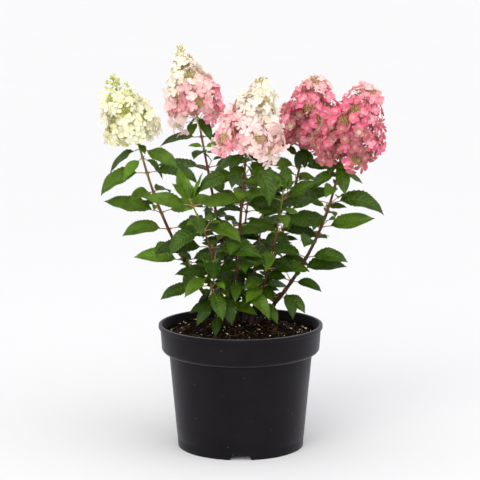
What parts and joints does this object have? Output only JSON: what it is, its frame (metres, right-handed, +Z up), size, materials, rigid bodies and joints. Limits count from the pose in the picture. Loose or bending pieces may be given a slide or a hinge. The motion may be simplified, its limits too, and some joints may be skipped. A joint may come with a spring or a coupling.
{
  "type": "panicle hydrangea shrub in a nursery pot",
  "caption": "Panicle hydrangea shrub with upright leafy canes, cones of cream to deep pink blossom, and a round black nursery pot filled with potting mix.",
  "frame": {"origin": "middle of the flat underside of the pot, on the surface it stands on", "axes": "+Z up; +X to the right and +Y away, seen from the side that shows the most blossom"},
  "size_m": [0.4804, 0.3336, 0.6823],
  "materials": {
    "pot": "matt moulded black",
    "soil": "moist potting mix of bark, peat and perlite",
    "bark": "smooth reddish-brown young bark",
    "leaves": "satin green leaf",
    "blossom": "soft matt petal"
  },
  "bodies": {
    "root": {"pot": "pot", "soil": "soil", "cane_left": "bark", "cane_back": "bark", "cane_centre": "bark", "cane_right_back": "bark", "cane_right": "bark", "cane_shoot_left": "bark", "cane_shoot_right": "bark", "cane_shoot_back": "bark", "cane_shoot_middle": "bark", "cane_shoot_front": "bark", "bloom_left": "blossom", "bloom_back": "blossom", "bloom_centre": "blossom", "bloom_right_back": "blossom", "bloom_right": "blossom", "leaves_left": "leaves", "leaves_back": "leaves", "leaves_centre": "leaves", "leaves_right_back": "leaves", "leaves_right": "leaves", "leaves_shoot_left": "leaves", "leaves_shoot_right": "leaves", "leaves_shoot_back": "leaves", "leaves_shoot_middle": "leaves", "leaves_shoot_front": "leaves"}
  },
  "joints": []
}
